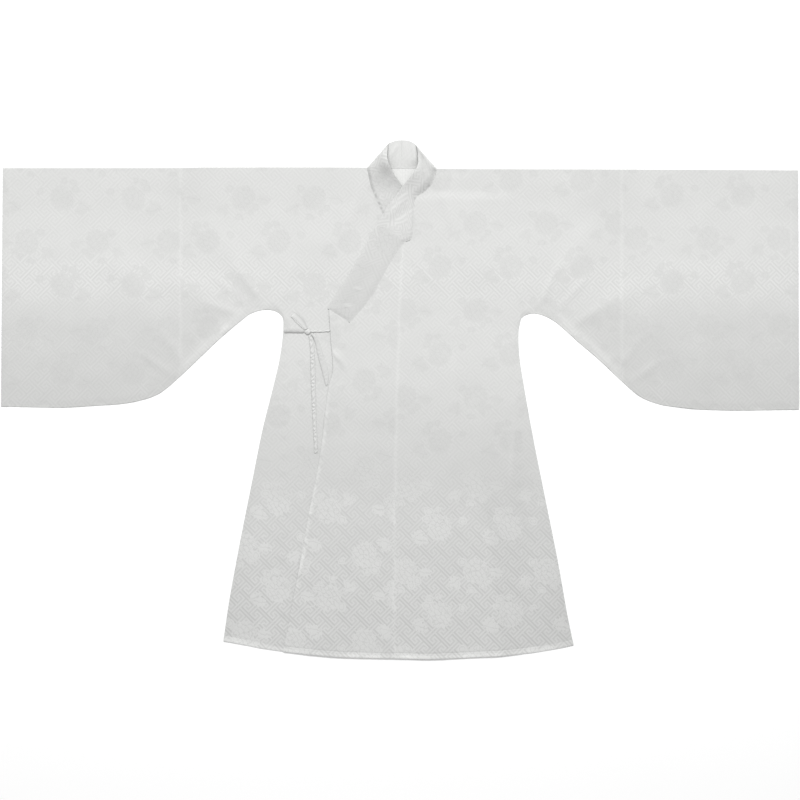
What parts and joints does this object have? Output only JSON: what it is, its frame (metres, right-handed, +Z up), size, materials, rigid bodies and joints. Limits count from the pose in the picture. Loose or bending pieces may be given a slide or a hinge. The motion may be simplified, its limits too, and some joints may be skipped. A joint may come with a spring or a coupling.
{
  "type": "hanfu robe",
  "caption": "Long cross-collared white silk robe with very wide curved sleeves and a side tie, laid flat and face up.",
  "frame": {"origin": "middle of the robe's flat underside, on the surface it rests on", "axes": "+X to the wearer's left, across the sleeves; +Y towards the collar; +Z up, out of the robe's front"},
  "size_m": [1.915, 1.2452, 0.0116],
  "materials": {
    "damask": "white silk damask, soft sheen",
    "band": "white silk damask, doubled",
    "tie": "white silk strap"
  },
  "bodies": {
    "root": {"body_right": "damask", "body_left": "damask", "sleeve_right": "damask", "sleeve_left": "damask", "overlap_outer": "damask", "overlap_inner": "damask", "collar_band": "band", "side_strap": "tie", "flap_strap": "tie", "tie_knot": "tie", "tie_loop": "tie", "tail_long": "tie", "tail_short": "tie"}
  },
  "joints": []
}
